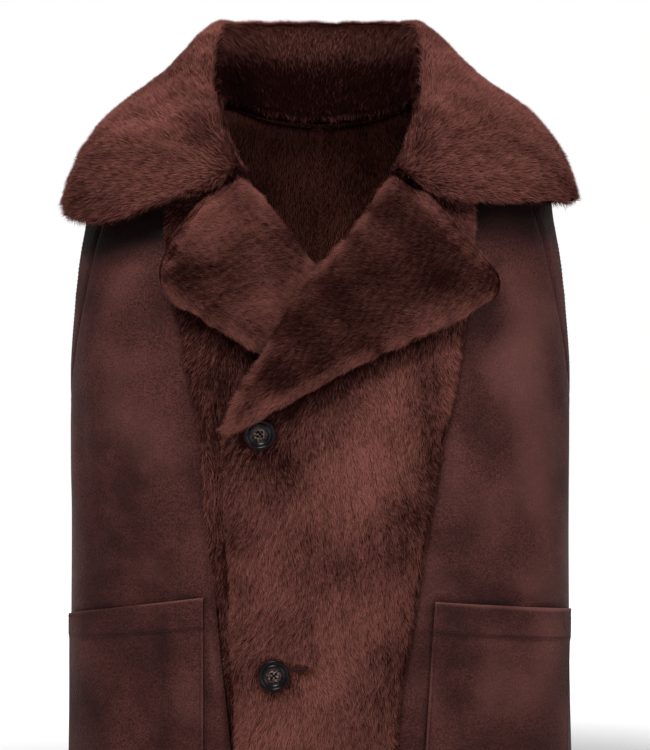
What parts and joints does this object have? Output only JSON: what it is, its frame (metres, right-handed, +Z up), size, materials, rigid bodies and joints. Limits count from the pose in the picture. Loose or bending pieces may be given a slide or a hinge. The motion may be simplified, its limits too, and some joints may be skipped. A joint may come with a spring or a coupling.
{
  "type": "faux fur vest",
  "caption": "Faux shearling vest with suede-look sides and back, fur front panels, wide fur collar and lapels, patch pockets and a buttoned overlap, filled out as worn.",
  "frame": {"origin": "between the wearer's shoulders, level with the bottom of the collar's stand", "axes": "+Z up, -Y out of the front, +X towards the wearer's left"},
  "size_m": [0.524, 0.3132, 0.8342],
  "materials": {
    "suede": "matte suede-look, fine grain, mottled plum brown",
    "fur": "dense short pile, reddish brown, soft sheen",
    "horn": "satin, near black"
  },
  "bodies": {
    "root": {"back_left": "suede", "back_right": "suede", "front_left_suede": "suede", "front_right_suede": "suede", "front_left_fur": "fur", "front_right_fur": "fur", "lapel_left": "fur", "lapel_right": "fur", "collar": "fur", "armhole_band_left": "suede", "armhole_band_right": "suede", "pocket_left": "suede", "pocket_right": "suede", "button_upper": "horn", "button_lower": "horn"}
  },
  "joints": []
}
